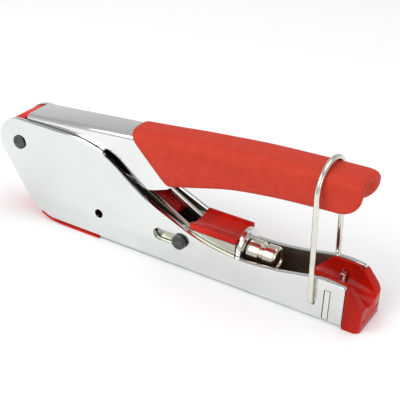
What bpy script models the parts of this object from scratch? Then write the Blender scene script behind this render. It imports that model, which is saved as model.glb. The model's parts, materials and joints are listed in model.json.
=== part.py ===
"""Compression crimping tool for coaxial connectors.

A folded sheet-steel body carries a toggle handle, a sliding ram with a hollow plunger tip, a moulded
nose with a steel anvil, and a wire bail that latches the handle shut. The tool lies along X with its
nose at +X, stands on the flat bottom of the body at z = 0 and is symmetric about y = 0.
"""

from math import acos, atan2, cos, pi, radians, sin, sqrt

import bmesh
import bpy
from mathutils import Matrix, Vector

MM = 0.001

# Body
BODY_LENGTH = 178 * MM
BODY_WIDTH = 22 * MM
PLATE = 2.2 * MM
BODY_BEND = 2.5 * MM
HEAD_RADIUS = 11 * MM
HEAD_HEIGHT = 35.1 * MM
HEEL_RISE = 1.3 * MM
HEEL_RADIUS = 24 * MM
HEEL_LENGTH = 43 * MM
ANCHOR_HOLE_RADIUS = 2.05 * MM
GAP = 0.3 * MM

# Handle
HANDLE_WALL = 2.0 * MM
HANDLE_BEND = 2.5 * MM
HANDLE_TILT = radians(5.56)
HANDLE_TOP = 12.8 * MM
HANDLE_STEEL_LENGTH = 110 * MM
LUG_RADIUS = 7 * MM
GRIP_INSET = 1.2 * MM
GRIP_SKIN = 1.3 * MM
GRIP_SHOULDER_SHARE = 0.42
GRIP_END_SHARE = 0.69
GRIP_HEM = 1.5 * MM
GRIP_GROOVE = 6 * MM
HUB_RADIUS = 10.7 * MM
HUB_STEP = 0.3 * MM
SPRING_WIRE = 1.4 * MM
SPRING_RADIUS = 4.4 * MM
SPRING_TURNS = 3
SPRING_PITCH = 1.6 * MM

# Pins
PIN_RADIUS = 2.4 * MM
HEAD_PIN_RADIUS = 3.2 * MM
PIVOT_HEAD = 0.5 * MM
RAM_HEAD = 1.8 * MM

# Toggle link
CRANK = 22 * MM
CRANK_ANGLE = radians(-2.27)
LINK_WALL = 2.0 * MM
LINK_HALF_WIDTH = 5.1 * MM
LINK_RISE = radians(28)
LINK_KNEE = 26 * MM
LINK_PLAY = 1.3 * MM
RIVET_RADIUS = 1.0 * MM
FILLER_RADIUS = 2.9 * MM

# Ram
RAM_HEIGHT = 13.5 * MM
RAM_FROM_NOSE = 82 * MM
RAM_STROKE = 10.2 * MM
RAM_WALL = 1.8 * MM
RAM_LENGTH = 38 * MM
RAM_REACH = 25 * MM
RAM_FLOOR = 4.5 * MM
RAM_TOP = 19.1 * MM
SLOT_PLAY = 0.35 * MM
SADDLE_RIM = 2.5 * MM
SADDLE_DIP = 1.9 * MM
SADDLE_EDGE = 1.3 * MM
SADDLE_LENGTH = 22 * MM
FACE_PLATE = 2.2 * MM
TIP_RADIUS = 5.5 * MM
TIP_LENGTH = 13.2 * MM
TIP_GROOVE = 6.2 * MM
TIP_BORE = 3.5 * MM
TIP_BORE_DEPTH = 9 * MM
SHANK_RADIUS = 2.5 * MM
NUT_WIDTH = 9 * MM
NUT_HEIGHT = 4 * MM

# Nose
NOSE_OVERHANG = 7.5 * MM
NOSE_LENGTH = 20.6 * MM
NOSE_TOE = 7.8 * MM
NOSE_CORNER = 2.6 * MM
ANVIL_FROM_NOSE = 15.7 * MM
ANVIL = 2.2 * MM
ANVIL_FOOT = 6 * MM
TAB_BOTTOM = 1.7 * MM
TAB_TOP = 14.8 * MM
NOTCH_RADIUS = 3.4 * MM
NOSE_PIN_RADIUS = 1.0 * MM
NOSE_PIN_LENGTH = 9 * MM
NOSE_PIN_SPREAD = 7 * MM

# Bail
BAIL_FROM_NOSE = 20.7 * MM
BAIL_HEIGHT = 7.8 * MM
WIRE_RADIUS = 1.15 * MM
BAIL_CLEARANCE = 0.35 * MM
BAIL_LEAN = -1.8 * MM
BAIL_ARCH = 11.5 * MM
BAIL_RISE = 30.0 * MM
BAIL_CORNER = 2.4 * MM

REAR_X = -BODY_LENGTH / 2
NOSE_X = BODY_LENGTH / 2
PIVOT = (REAR_X + HEAD_RADIUS, HEAD_HEIGHT)
RAM_PIN = (NOSE_X - RAM_FROM_NOSE, RAM_HEIGHT)
LINK_PIN = (PIVOT[0] + CRANK * cos(CRANK_ANGLE), PIVOT[1] + CRANK * sin(CRANK_ANGLE))
BAIL_HINGE = (NOSE_X - BAIL_FROM_NOSE, BAIL_HEIGHT)
PLATE_END = NOSE_X - NOSE_OVERHANG
ANVIL_X = NOSE_X - ANVIL_FROM_NOSE
OUTSIDE = BODY_WIDTH / 2
PLATE_INNER = OUTSIDE - PLATE
BAIL_TOP = HEAD_HEIGHT + BAIL_RISE
BAIL_SHOULDER = BAIL_TOP - BAIL_ARCH
BAIL_HALF_WIDTH = OUTSIDE + BAIL_CLEARANCE + WIRE_RADIUS
GRIP_HALF_WIDTH = OUTSIDE - GRIP_INSET
GRIP_SHOULDER = GRIP_SHOULDER_SHARE * OUTSIDE
GRIP_END_SHOULDER = GRIP_END_SHARE * OUTSIDE
INSIDE = PLATE_INNER - GAP
HANDLE_INNER = INSIDE - HANDLE_WALL
RAM_INNER = INSIDE - RAM_WALL
LINK_OUTER = min(HANDLE_INNER, RAM_INNER) - GAP
LINK_INNER = LINK_OUTER - LINK_WALL
HEEL_END = PIVOT[0] + HEEL_LENGTH
FACE_X = RAM_PIN[0] + RAM_REACH


# ---- outlines -------------------------------------------------------------------------------

def from_pivot(*points):
    """Points given in mm from the pivot, along X and up."""
    return [(PIVOT[0] + x * MM, PIVOT[1] + z * MM) for x, z in points]


def from_nose(*points):
    """Points given in mm back from the nose along X, with their height over the ground."""
    return [(NOSE_X - x * MM, z * MM) for x, z in points]


def arc(centre, radius, start, end, steps=8):
    """Points on an arc, angles in degrees, both ends included."""
    turns = [radians(start + (end - start) * i / steps) for i in range(steps + 1)]
    return [(centre[0] + radius * cos(t), centre[1] + radius * sin(t)) for t in turns]


def circle(centre, radius, steps=28):
    """A closed round outline."""
    return arc(centre, radius, 0, 360 - 360 / steps, steps - 1)


def smooth(points, steps=4):
    """A Catmull-Rom curve through the points."""
    ends = [points[0]] + list(points) + [points[-1]]
    out = []
    for a, b, c, d in zip(ends, ends[1:], ends[2:], ends[3:]):
        for i in range(steps):
            t = i / steps
            out.append(tuple(
                0.5 * (2 * q + (r - p) * t + (2 * p - 5 * q + 4 * r - s) * t * t
                       + (3 * q - p - 3 * r + s) * t ** 3)
                for p, q, r, s in zip(a, b, c, d)))
    return out + [points[-1]]


def fillet(before, corner, after, radius, steps=5):
    """The arc that rounds a corner between two straight edges."""
    a, c, b = Vector(before), Vector(corner), Vector(after)
    u, v = (a - c).normalized(), (b - c).normalized()
    half = acos(max(-1, min(1, u.dot(v)))) / 2
    reach = radius * cos(half) / sin(half)
    reach = min(reach, 0.49 * (a - c).length, 0.49 * (b - c).length)
    radius = reach * sin(half) / cos(half)
    centre = c + (u + v).normalized() * radius / sin(half)
    start = c + u * reach - centre
    end = c + v * reach - centre
    turn = atan2(start.x * end.y - start.y * end.x, start.dot(end))
    rim = [Matrix.Rotation(turn * i / steps, 2) @ start + centre for i in range(steps + 1)]
    return [tuple(p) for p in rim]


def rounded(corners, steps=5):
    """A closed outline from (x, z, radius) corners."""
    out = []
    for i, (x, z, radius) in enumerate(corners):
        before = corners[i - 1][:2]
        after = corners[(i + 1) % len(corners)][:2]
        out += fillet(before, (x, z), after, radius, steps) if radius else [(x, z)]
    return out


def shifted(points, distance):
    """An open line moved sideways by a distance, to the right of its direction."""
    out = []
    for i, p in enumerate(points):
        a = Vector(points[max(i - 1, 0)])
        b = Vector(points[min(i + 1, len(points) - 1)])
        along = (b - a).normalized()
        out.append((p[0] + along.y * distance, p[1] - along.x * distance))
    return out


def band(points, left, right):
    """The closed outline between a line's two parallels."""
    return shifted(points, right) + shifted(points, -left)[::-1]


def capsule(points, radius, steps=8):
    """The outline of a constant-width bar with round ends that follows two or three points."""
    first, last = Vector(points[0]), Vector(points[-1])
    toward = Vector(points[1]) - first
    leaving = last - Vector(points[-2])
    start = atan2(toward.y, toward.x) * 180 / pi
    end = atan2(leaving.y, leaving.x) * 180 / pi
    right = shifted(points, radius)[1:-1]
    left = shifted(points, -radius)[1:-1]
    return (arc(first, radius, start + 90, start + 270, steps) + right
            + arc(last, radius, end - 90, end + 90, steps) + left[::-1])


# ---- solids ---------------------------------------------------------------------------------

def start():
    """Empties the scene and makes the two collections."""
    for old in list(bpy.data.objects):
        bpy.data.objects.remove(old, do_unlink=True)
    for name in ("crimping_tool", "cutters"):
        bpy.context.scene.collection.children.link(bpy.data.collections.new(name))


def make_material(name, colour, roughness, metallic):
    made = bpy.data.materials.new(name)
    made.use_nodes = True
    shader = made.node_tree.nodes["Principled BSDF"]
    shader.inputs["Base Color"].default_value = (*colour, 1)
    shader.inputs["Roughness"].default_value = roughness
    shader.inputs["Metallic"].default_value = metallic
    made.diffuse_color = (*colour, 1)
    return made


def from_bmesh(name, bm):
    bmesh.ops.recalc_face_normals(bm, faces=bm.faces)
    if bm.calc_volume(signed=True) < 0:
        bmesh.ops.reverse_faces(bm, faces=bm.faces)
    mesh = bpy.data.meshes.new(name)
    bm.to_mesh(mesh)
    bm.free()
    made = bpy.data.objects.new(name, mesh)
    bpy.data.collections["cutters"].objects.link(made)
    return made


TOP_VIEW = Matrix.Identity(4)
SIDE_VIEW = Matrix.Rotation(pi / 2, 4, "X")
END_VIEW = Matrix.Rotation(pi / 2, 4, "Z") @ SIDE_VIEW


def extruded(name, outlines, low, high, view):
    """A flat outline, with any holes, as a 2D curve with thickness, made a mesh."""
    curve = bpy.data.curves.new(name, "CURVE")
    curve.dimensions = "2D"
    curve.fill_mode = "BOTH"
    curve.extrude = (high - low) / 2
    for outline in outlines:
        line = curve.splines.new("POLY")
        line.points.add(len(outline) - 1)
        for point, (x, y) in zip(line.points, outline):
            point.co = (x, y, 0, 1)
        line.use_cyclic_u = True
    guide = bpy.data.objects.new(name, curve)
    bpy.data.collections["cutters"].objects.link(guide)
    bpy.context.view_layer.update()
    graph = bpy.context.evaluated_depsgraph_get()
    mesh = bpy.data.meshes.new_from_object(guide.evaluated_get(graph))
    bpy.data.objects.remove(guide)
    bm = bmesh.new()
    bm.from_mesh(mesh)
    bmesh.ops.remove_doubles(bm, verts=bm.verts, dist=1e-6)
    middle = (low + high) / 2
    shift = view @ Vector((0, 0, middle))
    bm.transform(Matrix.Translation(shift) @ view)
    return from_bmesh(name, bm)


def plate(name, outline, low, high, holes=()):
    """A side-view outline, extruded across the tool from y = low to y = high."""
    return extruded(name, [outline, *holes], low, high, SIDE_VIEW)


def bar(name, outline, low, high):
    """An end-view (y, z) outline, extruded along the tool from x = low to x = high."""
    return extruded(name, [outline], low, high, END_VIEW)


def box(name, low, high):
    bm = bmesh.new()
    bmesh.ops.create_cube(bm, size=1)
    for vert in bm.verts:
        vert.co = [a + (b - a) * (c + 0.5) for a, b, c in zip(low, high, vert.co)]
    return from_bmesh(name, bm)


def rod(name, centre, radius, low, high, segments=32):
    """A cylinder across the tool, about the side-view point centre."""
    bm = bmesh.new()
    bmesh.ops.create_cone(bm, cap_ends=True, segments=segments, radius1=radius, radius2=radius,
                          depth=high - low)
    place = Matrix.Translation((centre[0], (low + high) / 2, centre[1]))
    bm.transform(place @ Matrix.Rotation(pi / 2, 4, "X"))
    return from_bmesh(name, bm)


def rod_x(name, centre, radius, low, high, segments=32):
    """A cylinder along the tool, about the end-view point centre."""
    bm = bmesh.new()
    bmesh.ops.create_cone(bm, cap_ends=True, segments=segments, radius1=radius, radius2=radius,
                          depth=high - low)
    place = Matrix.Translation(((low + high) / 2, centre[0], centre[1]))
    bm.transform(place @ Matrix.Rotation(pi / 2, 4, "Y"))
    return from_bmesh(name, bm)


def turned(name, profile, matrix, segments=48):
    """A profile of (radius, height) points, top to bottom, turned about its own Z axis."""
    mesh = bpy.data.meshes.new(name)
    verts = [(radius, 0, height) for radius, height in profile]
    mesh.from_pydata(verts, [(i, i + 1) for i in range(len(verts) - 1)], [])
    made = bpy.data.objects.new(name, mesh)
    bpy.data.collections["cutters"].objects.link(made)
    screw = made.modifiers.new("turn", "SCREW")
    screw.steps = segments
    screw.render_steps = segments
    screw.use_merge_vertices = True
    screw.merge_threshold = 1e-5
    made.matrix_world = matrix
    return made


def loft(name, rings):
    """A closed skin over rings with the same number of points, with flat ends."""
    bm = bmesh.new()
    rows = [[bm.verts.new(p) for p in ring] for ring in rings]
    for one, two in zip(rows, rows[1:]):
        for i in range(len(one)):
            j = (i + 1) % len(one)
            bm.faces.new((one[i], one[j], two[j], two[i]))
    bm.faces.new(rows[0])
    bm.faces.new(rows[-1])
    return from_bmesh(name, bm)


def wire(name, points, radius):
    """A round wire along the points, with filled ends, made a mesh."""
    curve = bpy.data.curves.new(name, "CURVE")
    curve.dimensions = "3D"
    curve.bevel_depth = radius
    curve.bevel_resolution = 2
    curve.use_fill_caps = True
    line = curve.splines.new("POLY")
    line.points.add(len(points) - 1)
    for point, place in zip(line.points, points):
        point.co = (*place, 1)
    guide = bpy.data.objects.new(name, curve)
    bpy.data.collections["cutters"].objects.link(guide)
    bpy.context.view_layer.update()
    graph = bpy.context.evaluated_depsgraph_get()
    mesh = bpy.data.meshes.new_from_object(guide.evaluated_get(graph))
    place = guide.matrix_world.copy()
    bpy.data.objects.remove(guide)
    bm = bmesh.new()
    bm.from_mesh(mesh)
    bmesh.ops.remove_doubles(bm, verts=bm.verts, dist=1e-6)
    made = from_bmesh(name, bm)
    made.matrix_world = place
    return made


def combine(target, operation, *others):
    for other in others:
        step = target.modifiers.new(other.name, "BOOLEAN")
        step.operation = operation
        step.solver = "EXACT"
        step.object = other
        other.hide_render = True
        other.display_type = "WIRE"
    return target


def cut(target, *cutters):
    return combine(target, "DIFFERENCE", *cutters)


def join(target, *others):
    return combine(target, "UNION", *others)


def keep_common(target, *others):
    return combine(target, "INTERSECT", *others)


def tilt_with_handle(made):
    """Turns a piece that was drawn level about the pivot, to the handle's slope."""
    pivot = Vector((PIVOT[0], 0, PIVOT[1]))
    turn = Matrix.Rotation(-HANDLE_TILT, 4, "Y")
    made.matrix_world = Matrix.Translation(pivot) @ turn @ Matrix.Translation(-pivot)
    return made


def finish(made, material, axis=None):
    """Names a part's material, shades it and hangs it on the empty at its joint axis."""
    parts = bpy.data.collections["crimping_tool"]
    bpy.data.collections["cutters"].objects.unlink(made)
    parts.objects.link(made)
    made.data.materials.clear()
    made.data.materials.append(material)
    made.data.shade_smooth()
    made.data.set_sharp_from_angle(angle=radians(35))
    if axis:
        bpy.context.view_layer.update()
        made.parent = axis
        made.matrix_parent_inverse = axis.matrix_world.inverted()
    return made


def joint_axis(name, x, z):
    axis = bpy.data.objects.new(name, None)
    axis.location = (x, 0, z)
    bpy.data.collections["cutters"].objects.link(axis)
    bpy.context.view_layer.update()
    return axis


# ---- body -----------------------------------------------------------------------------------

def rear_edge():
    """The slanted rear edge of the plates, from the round head down and along the raised heel."""
    slope = radians(214.6)
    top = (PIVOT[0] + HEAD_RADIUS * cos(slope), PIVOT[1] + HEAD_RADIUS * sin(slope))
    fall = top[1] - HEEL_RISE
    corner = (top[0] + fall * sin(slope) / cos(slope), HEEL_RISE)
    end = (HEEL_END, HEEL_RISE)
    return [top] + fillet(top, corner, end, HEEL_RADIUS, 10) + [end]


def top_edge():
    """The upper edge of the plates, from the head over the shoulder down to the nose."""
    rear = from_pivot((18, 10.9), (30, 10.7), (39.5, 9.1), (49.5, 4.9), (64.7, -5.8))
    front = from_nose((87.1, 22.3), (72.5, 17), (55, 14.4), (37, 15.7), (19, 19.0), (9.5, 18.6))
    return smooth(rear + front)


def side_outline():
    head = arc(PIVOT, HEAD_RADIUS, 90, 204, 14)
    heel = rear_edge()
    foot = [(HEEL_END, 0), (PLATE_END, 0)]
    corner = fillet(foot[1], (PLATE_END, 18.4 * MM), top_edge()[-1], 2.2 * MM)
    return head + heel + foot + corner + top_edge()[::-1]


def channel_section(half_width, wall, bend, low, high, opens_up=True):
    """A folded sheet's U section with round bends, as (y, z) points."""
    inner = max(bend - wall, 0.1 * MM)
    outside = rounded([(-half_width, high, 0), (-half_width, low, bend), (half_width, low, bend),
                       (half_width, high, 0)], 4)
    w = half_width - wall
    inside = rounded([(w, high, 0), (w, low + wall, inner), (-w, low + wall, inner),
                      (-w, high, 0)], 2)
    section = outside + inside
    return section if opens_up else [(y, low + high - z) for y, z in section][::-1]


def ram_slot():
    """Side-view outline of the slot that the ram pin slides in."""
    radius = PIN_RADIUS + SLOT_PLAY
    rear = (RAM_PIN[0] - RAM_STROKE - SLOT_PLAY, RAM_PIN[1])
    front = (RAM_PIN[0] + SLOT_PLAY, RAM_PIN[1])
    return capsule([rear, front], radius)


def anchor_hole():
    return from_pivot((43.15, -22.3))[0]


def body_channel():
    reach = OUTSIDE + 5 * MM
    high = PIVOT[1] + HEAD_RADIUS + 5 * MM
    section = channel_section(OUTSIDE, PLATE, BODY_BEND, 0, high)
    made = bar("body_channel", section, REAR_X - 5 * MM, PLATE_END + 5 * MM)
    keep_common(made, plate("body_side_view", side_outline(), -reach, reach))
    heel_gap = box("heel_gap", (REAR_X - 9 * MM, -PLATE_INNER, -MM), (HEEL_END, PLATE_INNER, 9 * MM))
    slot = plate("ram_slot", ram_slot(), -reach, reach)
    pivot_hole = rod("pivot_hole", PIVOT, PIN_RADIUS + GAP / 2, -reach, reach)
    anchor = rod("anchor_hole", anchor_hole(), ANCHOR_HOLE_RADIUS, -reach, reach)
    bail_hole = rod("bail_hole", BAIL_HINGE, WIRE_RADIUS + GAP, -reach, reach, 20)
    tabs = box("tab_slots", (ANVIL_X - GAP, -reach, TAB_BOTTOM - GAP),
               (ANVIL_X + ANVIL + GAP, reach, TAB_TOP + GAP))
    cut(made, heel_gap, slot, pivot_hole, anchor, bail_hole, tabs)
    return made


def rear_spine():
    edge = rear_edge()
    core = plate("rear_spine", band(edge[:-1] + [(HEEL_END - GAP, HEEL_RISE)], 3.2 * MM, 0),
                 -INSIDE, INSIDE)
    start = next(i for i, p in enumerate(edge) if p[1] < 4.5 * MM)
    run = edge[start:-1] + [(HEEL_END - GAP, HEEL_RISE)]
    lip = plate("spine_lip", band(run, -GAP, HEEL_RISE), -OUTSIDE, OUTSIDE)
    neck = box("spine_neck", (HEEL_END - 20 * MM, GAP - INSIDE, GAP),
               (HEEL_END - MM, INSIDE - GAP, HEEL_RISE + MM))
    return join(core, neck, lip)


def superellipse(x, half_width, centre_z, height, power, count=40):
    """One ring of the cable trough's cutter: a rounded U below centre_z, straight above it."""
    ring = []
    for i in range(count + 1):
        t = -pi + pi * i / count
        c, s = cos(t), sin(t)
        y = half_width * (1 if c > 0 else -1) * abs(c) ** (2 / power)
        ring.append((x, y, centre_z - height * abs(s) ** (2 / power)))
    top = centre_z + 25 * MM
    return ring + [(x, half_width, top), (x, -half_width, top)]


def nose_trough():
    """The cable trough: a U that falls and narrows towards the nose."""
    stations = ((40, 7.3, 23.8, 12.0, 2.4), (32, 7.3, 22.6, 11.4, 2.4), (24, 7.3, 21.2, 10.8, 2.4),
                (18, 7.3, 20.0, 10.2, 2.3), (12, 7.2, 18.4, 9.2, 2.2), (7, 6.5, 15.6, 6.9, 2.1),
                (3, 5.7, 12.8, 4.6, 2.0), (-2, 5.4, 10.4, 2.8, 2.0))
    rings = [superellipse(NOSE_X - back * MM, wide * MM, z * MM, deep * MM, power)
             for back, wide, z, deep, power in smooth(stations, 3)]
    return loft("nose_trough", rings)


def nose_head():
    """The solid end that closes the body: sloped on top, with round upright corners."""
    start = PLATE_END + GAP
    high = 30 * MM
    plan = rounded([(start, -OUTSIDE, 0), (NOSE_X, -OUTSIDE, NOSE_CORNER),
                    (NOSE_X, OUTSIDE, NOSE_CORNER), (start, OUTSIDE, 0)], 6)
    made = extruded("nose_head", [plan], -MM, high, TOP_VIEW)
    slope = from_nose((0, 9.6), (6.5, 17.4))
    side = rounded([(start - MM, 0, 0), (NOSE_X + MM, 0, 0), (NOSE_X + MM, 8.4 * MM, 0),
                    (*slope[1], MM), (start - MM, 17.9 * MM, 0)], 3)
    return keep_common(made, plate("nose_head_side", side, -OUTSIDE - MM, OUTSIDE + MM))


def nose_block():
    """The lining between the plates, its rear end sloped back to its toe, and the nose head."""
    front = PLATE_END + GAP + 2 * MM
    floor = PLATE + GAP
    (rear, rear_top), (ridge, front_top) = from_nose((NOSE_LENGTH / MM, 19.0), (9.5, 18.8))
    inner = [(rear - NOSE_TOE, floor), (front, floor), (front, 15 * MM), (ridge, front_top),
             (rear, rear_top), (rear - NOSE_TOE, rear_top - NOSE_TOE)]
    made = plate("nose_block", inner, -INSIDE, INSIDE)
    anvil = box("anvil_seat", (ANVIL_X - GAP, -OUTSIDE, ANVIL_FOOT - GAP),
                (ANVIL_X + ANVIL + GAP, OUTSIDE, TAB_TOP + GAP))
    cut(join(made, nose_head()), nose_trough(), anvil)
    for side in (-1, 1):
        cut(made, rod_x(f"nose_pin_hole_{side}", nose_pin_place(side), NOSE_PIN_RADIUS + GAP / 2,
                        NOSE_X - NOSE_PIN_LENGTH - GAP, NOSE_X + MM, 16))
    return made


def nose_pin_place(side):
    return (side * NOSE_PIN_SPREAD, 4.6 * MM)


def nose_pin(name, side):
    return rod_x(name, nose_pin_place(side), NOSE_PIN_RADIUS, NOSE_X - NOSE_PIN_LENGTH,
                 NOSE_X - 0.2 * MM, 16)


def anvil_plate():
    """The steel plate that the connector pushes on, notched for the cable, tabbed in the body."""
    notch = arc((0, RAM_HEIGHT), NOTCH_RADIUS, 0, -180, 14)
    shoulders = [(NOTCH_RADIUS, TAB_TOP), (OUTSIDE, TAB_TOP), (OUTSIDE, TAB_BOTTOM),
                 (PLATE_INNER - GAP / 2, TAB_BOTTOM), (PLATE_INNER - GAP / 2, ANVIL_FOOT)]
    mirrored = [(-y, z) for y, z in shoulders][::-1]
    outline = mirrored + notch[::-1] + shoulders
    return bar("anvil_plate", outline, ANVIL_X, ANVIL_X + ANVIL)


def headed_pin(name, centre, head_length, head_radius, rim):
    """A pin across the body with a chamfered round head outside each plate."""
    reach = OUTSIDE + GAP
    tip = reach + head_length
    profile = [(0, tip), (head_radius - rim, tip), (head_radius, tip - rim), (head_radius, reach),
               (PIN_RADIUS, reach), (PIN_RADIUS, -reach), (head_radius, -reach),
               (head_radius, -tip + rim), (head_radius - rim, -tip), (0, -tip)]
    place = Matrix.Translation((centre[0], 0, centre[1])) @ Matrix.Rotation(pi / 2, 4, "X")
    return turned(name, profile, place, 32)


def return_spring():
    """A torsion spring round the pivot pin: one leg under the handle, one on the rear spine."""
    width = SPRING_PITCH * (SPRING_TURNS + 0.25)
    first = radians(202)
    sweep = 2 * pi * SPRING_TURNS + radians(90)
    count = 14 * SPRING_TURNS + 4
    coil = []
    for i in range(count + 1):
        turn = first - sweep * i / count
        y = width * (i / count - 0.5)
        coil.append((PIVOT[0] + SPRING_RADIUS * cos(turn), y, PIVOT[1] + SPRING_RADIUS * sin(turn)))
    (lower_x, lower_z), (upper_x, upper_z) = from_pivot((2.6, -15.5), (13.5, 10.3))
    return wire("return_spring", [(lower_x, -width / 2, lower_z)] + coil
                + [(upper_x, width / 2, upper_z)], SPRING_WIRE / 2)


# ---- handle ---------------------------------------------------------------------------------

def handle_lower_edge():
    """The flange's lower edge from the link lug out to the end of the steel inside the grip."""
    shown = from_pivot((46, 9.0), (49.2, 7.8), (52.8, 5.8), (57.9, 1.7), (63, -2.9),
                       (65.6, -3.8), (68.1, -3.7), (73, -2.1), (76.6, -0.7))
    hidden = from_pivot((81.5, 3.3), (90, 6.3), (109, 10.5))
    return smooth(shown, 3) + smooth(hidden, 3)


def handle_outline(grow=0.0):
    """The channel's side view. A cutter that leaves room round it is grown all round."""
    top_left = (PIVOT[0] + 2.8 * MM, PIVOT[1] + 30 * MM)
    neck = (PIVOT[0] + 2.8 * MM, PIVOT[1] + 7.6 * MM)
    lug = arc(PIVOT, LUG_RADIUS, 100, 262, 12)
    toe = arc(LINK_PIN, 6.0 * MM, 262, 335, 6)
    end = PIVOT[0] + HANDLE_STEEL_LENGTH
    lower = handle_lower_edge()
    return ([top_left, neck] + lug + toe + shifted(lower, grow)
            + [(end + grow, lower[-1][1] - grow), (end + grow, top_left[1])])


def handle_section(grow=0.0):
    top = PIVOT[1] + HANDLE_TOP
    return channel_section(INSIDE + grow, HANDLE_WALL + 2 * grow, HANDLE_BEND,
                           top - 60 * MM, top + grow, opens_up=False)


def handle_channel():
    start = REAR_X - 10 * MM
    made = tilt_with_handle(bar("handle_channel", handle_section(), start, NOSE_X))
    keep_common(made, plate("handle_side_view", handle_outline(), -OUTSIDE, OUTSIDE))
    cut(made, rod("handle_pivot_hole", PIVOT, PIN_RADIUS + GAP / 2, -OUTSIDE, OUTSIDE),
        rod("handle_link_hole", LINK_PIN, PIN_RADIUS + GAP / 2, -OUTSIDE, OUTSIDE))
    return made


def grip_lines():
    """The grip's bottom and top lines in side view."""
    bottom = smooth(from_pivot((55, -3.1), (72, -1.9), (88, 3.0), (106.6, 8.0), (124, 10.6),
                               (141, 12.0), (149, 12.5)), 6)
    top = smooth(from_pivot((55, 20.1), (68.3, 21.6), (82.8, 23.3), (94.5, 24.5), (119.2, 26.6),
                            (141.4, 27.6), (161, 28.5)), 6)
    return bottom, top


def level_at(line, x):
    for (xa, za), (xb, zb) in zip(line, line[1:]):
        if xa <= x <= xb:
            return za + (zb - za) * (x - xa) / (xb - xa)
    return line[-1][1] if x > line[-1][0] else line[0][1]


GRIP_START = PIVOT[0] + 55.5 * MM
GRIP_END = PIVOT[0] + 160.7 * MM
GRIP_CORNER = 11 * MM


def grip_ring(x, half_width, low, high, top_radius, bottom_radius, steps=5):
    corners = [(-half_width, low, bottom_radius), (half_width, low, bottom_radius),
               (half_width, high, top_radius), (-half_width, high, top_radius)]
    return [(x, y, z) for y, z in rounded(corners, steps)]


def handle_grip():
    bottom, top = grip_lines()
    rings = []
    straight = GRIP_END - GRIP_CORNER
    stations = [GRIP_START + (straight - GRIP_START) * i / 14 for i in range(15)]
    for i, x in enumerate(stations):
        shoulder = GRIP_SHOULDER + (GRIP_END_SHOULDER - GRIP_SHOULDER) * i / 14
        rings.append(grip_ring(x, GRIP_HALF_WIDTH, level_at(bottom, x), level_at(top, x),
                               shoulder, GRIP_HEM))
    for i in range(1, 9):
        turn = pi / 2 * i / 8 * 0.97
        x = straight + GRIP_CORNER * sin(turn)
        lift = 9.5 * MM * (1 - cos(turn))
        drop = 2.4 * MM * (1 - cos(turn)) ** 1.5
        draw = 1.4 * MM * (1 - cos(turn)) ** 1.5
        rings.append(grip_ring(x, GRIP_HALF_WIDTH - draw, level_at(bottom, straight) + lift,
                               level_at(top, x) - drop, GRIP_END_SHOULDER, GRIP_HEM))
    made = loft("handle_grip", rings)
    mouth = from_pivot((50, 26.9), (56.95, 20.7), (63.75, 13.8), (68.75, 9.1), (73.75, 4.1),
                       (78.6, -0.5), (82, -9.1), (40, -9.1))
    room = handle_section(GAP)
    steel = tilt_with_handle(bar("grip_seat", room, REAR_X, NOSE_X))
    keep_common(steel, plate("grip_seat_side", handle_outline(GAP), -OUTSIDE, OUTSIDE))
    wide = HANDLE_INNER - GAP - GRIP_SKIN
    ceiling = PIVOT[1] + HANDLE_TOP - HANDLE_WALL - GAP - GRIP_SKIN
    hollow = tilt_with_handle(box("grip_hollow", (REAR_X, -wide, 0),
                                  (GRIP_END - 8 * MM, wide, ceiling)))
    cut(made, plate("grip_mouth", mouth, -3 * OUTSIDE, 3 * OUTSIDE), steel, hollow, end_groove())
    return made


def end_groove():
    """The upright groove that leaves the grip's end as two soft lobes, fading out near the top."""
    bm = bmesh.new()
    bmesh.ops.create_cone(bm, cap_ends=True, segments=24, radius1=GRIP_GROOVE,
                          radius2=0.3 * GRIP_GROOVE, depth=20 * MM)
    bm.transform(Matrix.Translation((GRIP_END + 1.5 * MM, 0, PIVOT[1] + 14.9 * MM)))
    return from_bmesh("end_groove", bm)


def handle_hub():
    """The moulded filler in the handle's rear end: a drum with a collar as wide as the handle."""
    wide = HANDLE_INNER - GAP
    rim = arc(PIVOT, HUB_RADIUS - HUB_STEP, 84, 160, 12)
    lower = arc(PIVOT, LUG_RADIUS, 172, 270, 10)
    front = [(PIVOT[0] + 11 * MM, PIVOT[1] - LUG_RADIUS), (PIVOT[0] + 11 * MM, PIVOT[1] + 14 * MM)]
    made = plate("handle_hub", rim + lower + front, -wide, wide)
    collar = (arc(PIVOT, HUB_RADIUS, 86, 158, 12)
              + arc(PIVOT, LUG_RADIUS + GAP, 158, 86, 12))
    join(made, plate("hub_collar", collar, -INSIDE, INSIDE))
    under_web = PIVOT[1] + HANDLE_TOP - HANDLE_WALL - GAP
    ceiling = tilt_with_handle(box("hub_ceiling", (REAR_X - 9 * MM, -OUTSIDE, under_web),
                                   (0, OUTSIDE, under_web + 20 * MM)))
    room = SPRING_PITCH * (SPRING_TURNS + 1) / 2 + GAP
    slot = rod("hub_spring_room", PIVOT, SPRING_RADIUS + SPRING_WIRE, -room, room)
    front_slot = box("hub_leg_room", (PIVOT[0] - 5.8 * MM, -room, 0),
                     (0, room, PIVOT[1] + 6.2 * MM))
    leg = plate("hub_upper_leg_room", from_pivot((-1, 2.9), (-1, 6.1), (11.5, 12.1), (11.5, 2.9)),
                -room, room)
    cut(made, ceiling, slot, front_slot, leg,
        rod("hub_hole", PIVOT, PIN_RADIUS + GAP / 2, -OUTSIDE, OUTSIDE))
    return made


def link_pin():
    return rod("link_pin", LINK_PIN, PIN_RADIUS, -INSIDE, INSIDE)


# ---- toggle link ----------------------------------------------------------------------------

def link_path():
    knee = (RAM_PIN[0] - LINK_KNEE * cos(LINK_RISE), RAM_PIN[1] + LINK_KNEE * sin(LINK_RISE))
    return [LINK_PIN, knee, RAM_PIN]


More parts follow.
